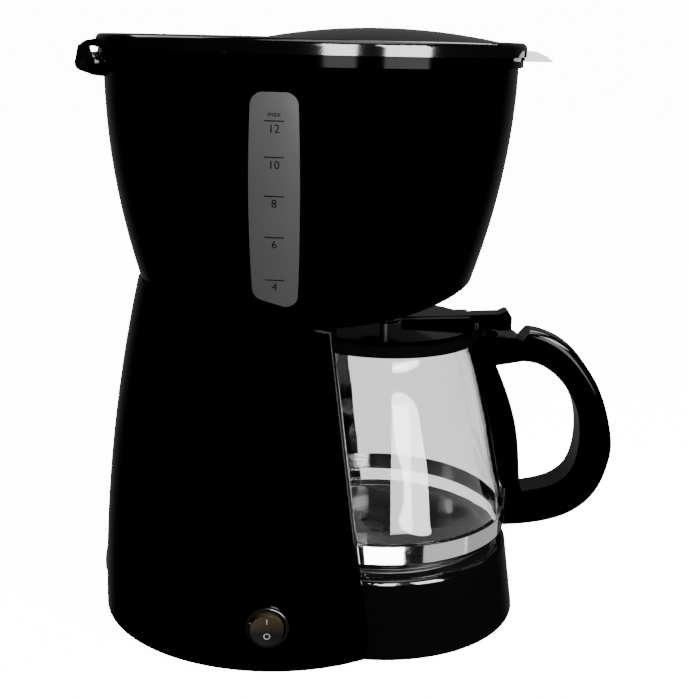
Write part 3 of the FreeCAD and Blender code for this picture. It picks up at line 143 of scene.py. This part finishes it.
def metal(name, colour, low, high, stretch=(1, 1, 1), grain=400.0, strength=0.06, depth=0.0001):
    """Metal whose polish runs along one direction."""
    material, nodes, links, main = shader(name, colour, (low + high) / 2, 1.0)
    pattern = noise_at(nodes, links, grain, 4.0, stretch)
    links.new(spread(nodes, links, pattern, low, high), main.inputs["Roughness"])
    relief(nodes, links, main, pattern, strength, depth)
    return material


def clear_glass():
    """Blown glass with faint waves; thin walls, so it hardly tints."""
    material, nodes, links, main = shader("jug_glass", (0.95, 0.95, 0.95), 0.0)
    main.inputs["Transmission Weight"].default_value = 1.0
    main.inputs["IOR"].default_value = 1.5
    links.new(spread(nodes, links, noise_at(nodes, links, 40.0, 3.0), 0.0, 0.012), main.inputs["Roughness"])
    relief(nodes, links, main, noise_at(nodes, links, 14.0, 0.0), 0.05, 0.0004)
    return material


def rocker_with_painted_light():
    """Smoked amber plastic with painted light: painted lighter amber towards the top as if lit, painted
    shade to near black below.
    """
    low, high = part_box("switch_rocker")
    material, nodes, links, main = shader("rocker_amber", (0.05, 0.035, 0.025), 0.14)
    place = nodes.new("ShaderNodeTexCoord")
    split = nodes.new("ShaderNodeSeparateXYZ")
    height = nodes.new("ShaderNodeMapRange")
    height.inputs["From Min"].default_value = low[2] + 0.35 * (high[2] - low[2])
    height.inputs["From Max"].default_value = low[2] + 0.8 * (high[2] - low[2])
    mix = nodes.new("ShaderNodeMix")
    mix.data_type = "RGBA"
    # A is the painted shade low on the rocker, B the painted lit amber near its top.
    mix.inputs["A"].default_value = (0.004, 0.004, 0.004, 1)
    mix.inputs["B"].default_value = (0.020, 0.0145, 0.008, 1)
    links.new(place.outputs["Object"], split.inputs["Vector"])
    links.new(split.outputs["Z"], height.inputs["Value"])
    links.new(height.outputs["Result"], mix.inputs["Factor"])
    links.new(mix.outputs["Result"], main.inputs["Base Color"])
    links.new(spread(nodes, links, noise_at(nodes, links, 300.0), 0.1, 0.18), main.inputs["Roughness"])
    return material


BLACK = (0.0007, 0.0007, 0.0008)
finishes = {
    "black_shell": moulded("black_shell", BLACK, 0.05, 0.10, 1400, 0.02),
    "black_inner": moulded("black_inner", (0.006, 0.006, 0.0065), 0.38, 0.5, 1600, 0.15),
    "tank_plastic": moulded("tank_plastic", (0.34, 0.36, 0.36), 0.32, 0.45, 700, 0.1),
    "gauge_plastic": moulded("gauge_plastic", (0.023, 0.023, 0.0226), 0.3, 0.42, 60, 0.25, 0.0006, 0.12),
    "jug_glass": clear_glass(),
    "band_steel": metal("band_steel", (0.83, 0.83, 0.82), 0.03, 0.12, (1, 1, 22), 90),
    "plate_coating": moulded("plate_coating", (0.02, 0.02, 0.021), 0.22, 0.34, 2200, 0.2),
    "casting_metal": metal("casting_metal", (0.6, 0.6, 0.61), 0.38, 0.6, (1, 1, 1), 900, 0.35, 0.0004),
    "element_steel": metal("element_steel", (0.4, 0.38, 0.35), 0.25, 0.5, (1, 9, 1), 300),
    "fastener_steel": metal("fastener_steel", (0.6, 0.6, 0.58), 0.22, 0.4, (1, 1, 6), 500),
    "spring_steel": metal("spring_steel", (0.55, 0.54, 0.52), 0.15, 0.3, (4, 4, 1), 900),
    "rubber": moulded("rubber", (0.014, 0.014, 0.014), 0.6, 0.8, 1200, 0.3),
    "hose_silicone": moulded("hose_silicone", (0.6, 0.58, 0.54), 0.35, 0.5, 800, 0.12),
    "valve_plastic": moulded("valve_plastic", (0.62, 0.62, 0.6), 0.3, 0.42, 800, 0.1),
    "fuse_ceramic": moulded("fuse_ceramic", (0.7, 0.68, 0.62), 0.2, 0.32, 900, 0.12),
    "terminal_plastic": moulded("terminal_plastic", (0.7, 0.68, 0.62), 0.4, 0.55, 900, 0.12),
    "lead_sleeve": moulded("lead_sleeve", (0.42, 0.36, 0.26), 0.6, 0.8, 2600, 0.6, 0.0004),
    "switch_black": moulded("switch_black", (0.002, 0.002, 0.002), 0.12, 0.2, 1400, 0.04),
    "rocker_amber": rocker_with_painted_light(),
}

for part in frame["record"]["subparts"]:
    node = frame["nodes"][part["node"]]
    node.data.materials.clear()
    node.data.materials.append(finishes[part["material_slot"]])


# ------------------------------------------------------------------ printed marks
MARK_THICK = 0.12 * MM
mark_white = moulded("mark_white", (0.12, 0.12, 0.118), 0.35, 0.5, 2500, 0.1)
mark_dark = moulded("mark_dark", (0.0015, 0.0015, 0.0015), 0.5, 0.65, 2500, 0.1)
mark_dark.node_tree.nodes["Principled BSDF"].inputs["Specular IOR Level"].default_value = 0.05


def surface_x(node_name):
    """A function that finds the -X side of a node at a given Y and Z."""
    mesh = frame["nodes"][node_name].data
    tree = BVHTree.FromPolygons([v.co for v in mesh.vertices], [list(f.vertices) for f in mesh.polygons])

    def find(y, z):
        hit = tree.ray_cast(Vector((-1, y, z)), Vector((1, 0, 0)))[0]
        return hit.x if hit else None
    return find


def lay_on(mesh, name, node_name, middle_y, middle_z, material, body):
    """Lay a flat drawing (X right, Y up, Z thickness) on a node's -X face, as seen from -X."""
    find = surface_x(node_name)
    for vertex in mesh.vertices:
        y = middle_y - vertex.co.x
        z = middle_z + vertex.co.y
        outward = MARK_THICK if vertex.co.z > 0 else -MARK_THICK
        vertex.co = (find(y, z) - outward, y, z)
    built = bmesh.new()
    built.from_mesh(mesh)
    bmesh.ops.remove_doubles(built, verts=built.verts, dist=1e-7)
    bmesh.ops.recalc_face_normals(built, faces=built.faces)
    built.to_mesh(mesh)
    built.free()
    mesh.materials.clear()
    mesh.materials.append(material)
    piece = bpy.data.objects.new(name, mesh)
    bpy.context.scene.collection.objects.link(piece)
    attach(piece, body)


def lettering(text, height):
    """A closed mesh of some characters, centred on its own middle."""
    curve = bpy.data.curves.new("lettering", "FONT")
    curve.body = text
    curve.size = height
    curve.extrude = 0.5
    curve.align_x = "CENTER"
    curve.align_y = "CENTER"
    curve.resolution_u = 3
    holder = bpy.data.objects.new("lettering", curve)
    bpy.context.scene.collection.objects.link(holder)
    bpy.context.view_layer.update()
    flat = bpy.data.meshes.new_from_object(holder.evaluated_get(bpy.context.evaluated_depsgraph_get()))
    bpy.data.objects.remove(holder)
    bpy.data.curves.remove(curve)
    return flat


TICKS = 5
TICK_LENGTH = 9.0 * MM
TICK_HEIGHT = 0.55 * MM
FIRST_GAP = 15.4 * MM
GAP_GROWTH = 0.83 * MM
NUMBERS = ("12", "10", "8", "6", "4")
NUMBER_HEIGHT = 5.4 * MM
NUMBER_DROP = 3.6 * MM       # a number's middle below its tick
MAX_HEIGHT = 3.6 * MM
MAX_RISE = 3.0 * MM          # the word's middle above the top tick
ON_HEIGHT = 5.0 * MM
OFF_HEIGHT = 4.6 * MM
SWITCH_MARK_OUT = 4.2 * MM   # from the rocker's middle, up and down
gauge_low, gauge_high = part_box("gauge_window")
top_tick_z = gauge_high[2] - 12.6 * MM
gauge_y = (gauge_low[1] + gauge_high[1]) / 2


def tick_drop(index):
    """How far a tick stands below the top one; the tank narrows, so the gaps grow."""
    return index * (FIRST_GAP + GAP_GROWTH * index)


def tick_tree():
    """Geometry Nodes: one bar on each of a column's points, with gaps that grow downwards."""
    tree = bpy.data.node_groups.new("gauge_ticks", "GeometryNodeTree")
    for name, kind in (("Ticks", "NodeSocketInt"), ("First gap", "NodeSocketFloat"),
                       ("Gap growth", "NodeSocketFloat"), ("Bar", "NodeSocketVector"),
                       ("Material", "NodeSocketMaterial")):
        tree.interface.new_socket(name=name, in_out="INPUT", socket_type=kind)
    tree.interface.new_socket(name="Geometry", in_out="OUTPUT", socket_type="NodeSocketGeometry")
    nodes, links = tree.nodes, tree.links
    given = nodes.new("NodeGroupInput")
    result = nodes.new("NodeGroupOutput")
    column = nodes.new("GeometryNodeMeshLine")
    column.inputs["Offset"].default_value = (0, 0, 0)
    index = nodes.new("GeometryNodeInputIndex")
    widened = nodes.new("ShaderNodeMath")
    widened.operation = "MULTIPLY_ADD"
    drop = nodes.new("ShaderNodeMath")
    drop.operation = "MULTIPLY"
    down = nodes.new("ShaderNodeMath")
    down.operation = "MULTIPLY"
    down.inputs[1].default_value = -1.0
    place = nodes.new("ShaderNodeCombineXYZ")
    moved = nodes.new("GeometryNodeSetPosition")
    bar = nodes.new("GeometryNodeMeshCube")
    bar.inputs["Vertices X"].default_value = 9
    copies = nodes.new("GeometryNodeInstanceOnPoints")
    real = nodes.new("GeometryNodeRealizeInstances")
    finish = nodes.new("GeometryNodeSetMaterial")
    links.new(given.outputs["Ticks"], column.inputs["Count"])
    links.new(index.outputs[0], widened.inputs[0])
    links.new(given.outputs["Gap growth"], widened.inputs[1])
    links.new(given.outputs["First gap"], widened.inputs[2])
    links.new(widened.outputs[0], drop.inputs[0])
    links.new(index.outputs[0], drop.inputs[1])
    links.new(drop.outputs[0], down.inputs[0])
    links.new(down.outputs[0], place.inputs["Y"])
    links.new(column.outputs["Mesh"], moved.inputs["Geometry"])
    links.new(place.outputs["Vector"], moved.inputs["Position"])
    links.new(given.outputs["Bar"], bar.inputs["Size"])
    links.new(moved.outputs["Geometry"], copies.inputs["Points"])
    links.new(bar.outputs["Mesh"], copies.inputs["Instance"])
    links.new(copies.outputs["Instances"], real.inputs["Geometry"])
    links.new(real.outputs["Geometry"], finish.inputs["Geometry"])
    links.new(given.outputs["Material"], finish.inputs["Material"])
    links.new(finish.outputs["Geometry"], result.inputs["Geometry"])
    return tree


def tick_column():
    """The ticks as one plain mesh."""
    holder = bpy.data.objects.new("ticks", bpy.data.meshes.new("ticks"))
    bpy.context.scene.collection.objects.link(holder)
    modifier = holder.modifiers.new("ticks", "NODES")
    modifier.node_group = tick_tree()
    values = {"Ticks": TICKS, "First gap": FIRST_GAP, "Gap growth": GAP_GROWTH,
              "Bar": (TICK_LENGTH, TICK_HEIGHT, 1.0), "Material": mark_dark}
    for socket in modifier.node_group.interface.items_tree:
        if socket.in_out == "INPUT":
            modifier[socket.identifier] = values[socket.name]
    bpy.context.view_layer.update()
    flat = bpy.data.meshes.new_from_object(holder.evaluated_get(bpy.context.evaluated_depsgraph_get()))
    bpy.data.objects.remove(holder)
    return flat


def mark_gauge():
    """The level lines, a number under each line, and the word over the top one."""
    lay_on(tick_column(), "gauge_ticks", "gauge_window", gauge_y, top_tick_z, mark_dark, "machine")
    for index, text in enumerate(NUMBERS):
        z = top_tick_z - tick_drop(index) - NUMBER_DROP
        lay_on(lettering(text, NUMBER_HEIGHT), "gauge_number_" + text, "gauge_window", gauge_y, z,
               mark_dark, "machine")
    lay_on(lettering("max", MAX_HEIGHT), "gauge_max", "gauge_window", gauge_y, top_tick_z + MAX_RISE,
           mark_dark, "machine")


def mark_switch():
    """On and off marks, which tilt with the rocker."""
    low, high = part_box("switch_rocker")
    middle_y = (low[1] + high[1]) / 2
    middle_z = (low[2] + high[2]) / 2
    lay_on(lettering("I", ON_HEIGHT), "switch_on_mark", "switch_rocker", middle_y,
           middle_z + SWITCH_MARK_OUT, mark_white, "rocker")
    lay_on(lettering("O", OFF_HEIGHT), "switch_off_mark", "switch_rocker", middle_y,
           middle_z - SWITCH_MARK_OUT, mark_white, "rocker")


mark_gauge()
mark_switch()


# ------------------------------------------------------------------ light
LAMP_AIM = Vector((0, 0, 0.3))
LAMP_REACH = 1.3             # from the aim to most lamps, in metres


def softbox(name, azimuth, elevation, width, height, power, distance=LAMP_REACH, shape="RECTANGLE", turn=0):
    """A flat lamp that faces the machine's top; azimuth is counted in degrees from -X towards -Y."""
    a = math.radians(azimuth)
    e = math.radians(elevation)
    out = Vector((-math.cos(a) * math.cos(e), -math.sin(a) * math.cos(e), math.sin(e)))
    data = bpy.data.lights.new(name, "AREA")
    data.shape = shape
    data.size = width
    data.size_y = height
    data.energy = power
    lamp = bpy.data.objects.new(name, data)
    bpy.context.scene.collection.objects.link(lamp)
    lamp.location = out * distance + LAMP_AIM
    lamp.rotation_euler = out.to_track_quat("Z", "Y").to_euler()
    lamp.rotation_euler.rotate_axis("Z", math.radians(turn))
    return lamp


KEPT_DARK = ("upper_housing", "tower_shell", "tank_deck", "jug_glass", "jug_handle", "handle_cover",
             "lid_lever", "lever_pin", "jug_lid", "hinge_bracket", "hinge_pin")
JUG_TOP = ("lid_lever", "jug_lid", "jug_collar", "jug_handle", "handle_cover")
HANDLE = ("jug_handle", "handle_cover")
HINGE = ("hinge_bracket", "hinge_pin")

# Lamps that light all parts but the ones kept from them in lamps(): name, azimuth, elevation, width,
# height, watts.
KEYS = (("key_left", 12, 14.5, 0.34, 0.84, 42),
        ("key_right", 44, 14.5, 0.55, 0.84, 66))
BACKS = (("back_left", -125, 48, 0.7, 0.7, 6),
         ("back_right", 150, 48, 0.7, 0.7, 10))
BACK_REACH = 1.5
# Lamps of one part or group, in the same order of values.
LEVER_PANEL = ("lever_panel", 60, 35, 0.6, 0.5, 16)
HANDLE_PANEL = ("handle_panel", 34, 8, 0.5, 0.9, 6)
COLLAR_PANELS = (("collar_left", 12, 14.5, 0.34, 0.84, 1.6),
                 ("collar_right", 44, 14.5, 0.55, 0.84, 2.6))
LIP_PANEL = ("lip_panel", 80, 0, 0.25, 1.3, 3)
BAND_PANELS = (("band_left", -3, -25, 1.0, 0.5, 25),
               ("band_middle", 62, -25, 0.9, 0.5, 1.0),
               ("band_right", 108, -25, 1.1, 0.5, 0.8))


def link_light(lamps, node_names, state):
    """These lamps light only the named nodes (INCLUDE), or all but them (EXCLUDE)."""
    chosen = bpy.data.collections.new("chosen_for_" + lamps[0].name)
    for name in node_names:
        chosen.objects.link(frame["nodes"][name])
    for entry in chosen.collection_objects:
        entry.light_linking.link_state = state
    for lamp in lamps:
        lamp.light_linking.receiver_collection = chosen


def lamps():
    """Two tall key panels; each group of parts that wants its own reflection has its own panel."""
    link_light([softbox(*key) for key in KEYS], KEPT_DARK, "EXCLUDE")
    softbox("top", 60, 80, 0.9, 0.9, 8, distance=1.2)
    link_light([softbox(*back, distance=BACK_REACH) for back in BACKS], HINGE, "EXCLUDE")
    # A slanting oval and an upright panel together make the blade-shaped streak in the glass.
    streak = [softbox("glass_top", 27, -1.0, 0.95, 0.4, 29, shape="ELLIPSE", turn=-32),
              softbox("glass_panel", 19, -3.0, 0.44, 0.34, 9)]
    link_light(streak, ("jug_glass",), "INCLUDE")
    link_light([softbox(*LEVER_PANEL)], JUG_TOP, "INCLUDE")
    link_light([softbox(*HANDLE_PANEL)], HANDLE, "INCLUDE")
    link_light([softbox(*panel) for panel in COLLAR_PANELS], ("tank_deck",), "INCLUDE")
    link_light([softbox(*LIP_PANEL)], ("tower_shell",), "INCLUDE")
    link_light([softbox(*panel) for panel in BAND_PANELS], ("jug_band",), "INCLUDE")


BACKDROP = 14.0              # sky and floor where they are looked at
GREY_THROUGH_GLASS = 1.9     # below the horizon
DARK_THROUGH_GLASS = 0.06    # above it
NEAR_GLOW = 0.008            # in reflections, all round
FAR_GLOW = 0.15              # in reflections, towards +X


def sky():
    """White where it is looked at, grey through the glass, and a soft far glow in reflections."""
    world = bpy.data.worlds.new("studio")
    world.use_nodes = True
    nodes = world.node_tree.nodes
    links = world.node_tree.links
    seen = nodes["Background"]
    seen.inputs["Color"].default_value = (1, 1, 1, 1)
    seen.inputs["Strength"].default_value = BACKDROP
    through = nodes.new("ShaderNodeBackground")
    below = nodes.new("ShaderNodeMapRange")
    below.inputs["From Min"].default_value = -0.05
    below.inputs["From Max"].default_value = 0.04
    below.inputs["To Min"].default_value = GREY_THROUGH_GLASS
    below.inputs["To Max"].default_value = DARK_THROUGH_GLASS
    glow = nodes.new("ShaderNodeBackground")
    place = nodes.new("ShaderNodeTexCoord")
    split = nodes.new("ShaderNodeSeparateXYZ")
    far = nodes.new("ShaderNodeMapRange")
    far.interpolation_type = "SMOOTHSTEP"
    far.inputs["From Min"].default_value = 0.55
    far.inputs["From Max"].default_value = 1.0
    far.inputs["To Min"].default_value = NEAR_GLOW
    far.inputs["To Max"].default_value = FAR_GLOW
    links.new(place.outputs["Generated"], split.inputs["Vector"])
    links.new(split.outputs["X"], far.inputs["Value"])
    links.new(split.outputs["Z"], below.inputs["Value"])
    links.new(below.outputs["Result"], through.inputs["Strength"])
    links.new(far.outputs["Result"], glow.inputs["Strength"])
    rays = nodes.new("ShaderNodeLightPath")
    inner = nodes.new("ShaderNodeMixShader")
    outer = nodes.new("ShaderNodeMixShader")
    links.new(rays.outputs["Is Transmission Ray"], inner.inputs["Fac"])
    links.new(glow.outputs[0], inner.inputs[1])
    links.new(through.outputs[0], inner.inputs[2])
    links.new(rays.outputs["Is Camera Ray"], outer.inputs["Fac"])
    links.new(inner.outputs[0], outer.inputs[1])
    links.new(seen.outputs[0], outer.inputs[2])
    links.new(outer.outputs[0], nodes["World Output"].inputs["Surface"])
    bpy.context.scene.world = world


lamps()
sky()


# ------------------------------------------------------------------ floor
FLOOR_REACH = 4.0


def lay_floor():
    """A pale floor that is only looked at: it lights nothing and shows in no reflection."""
    mesh = bpy.data.meshes.new("floor")
    r = FLOOR_REACH
    mesh.from_pydata([(-r, -r, 0), (r, -r, 0), (r, r, 0), (-r, r, 0)], [], [(0, 1, 2, 3)])
    floor = bpy.data.objects.new("floor", mesh)
    bpy.context.scene.collection.objects.link(floor)
    material, _, _, main = shader("floor", (0.9, 0.9, 0.9), 0.9)
    main.inputs["Emission Color"].default_value = (1, 1, 1, 1)
    main.inputs["Emission Strength"].default_value = BACKDROP
    mesh.materials.append(material)
    floor.visible_glossy = False
    floor.visible_diffuse = False
    floor.visible_shadow = False
    floor.visible_transmission = False


lay_floor()
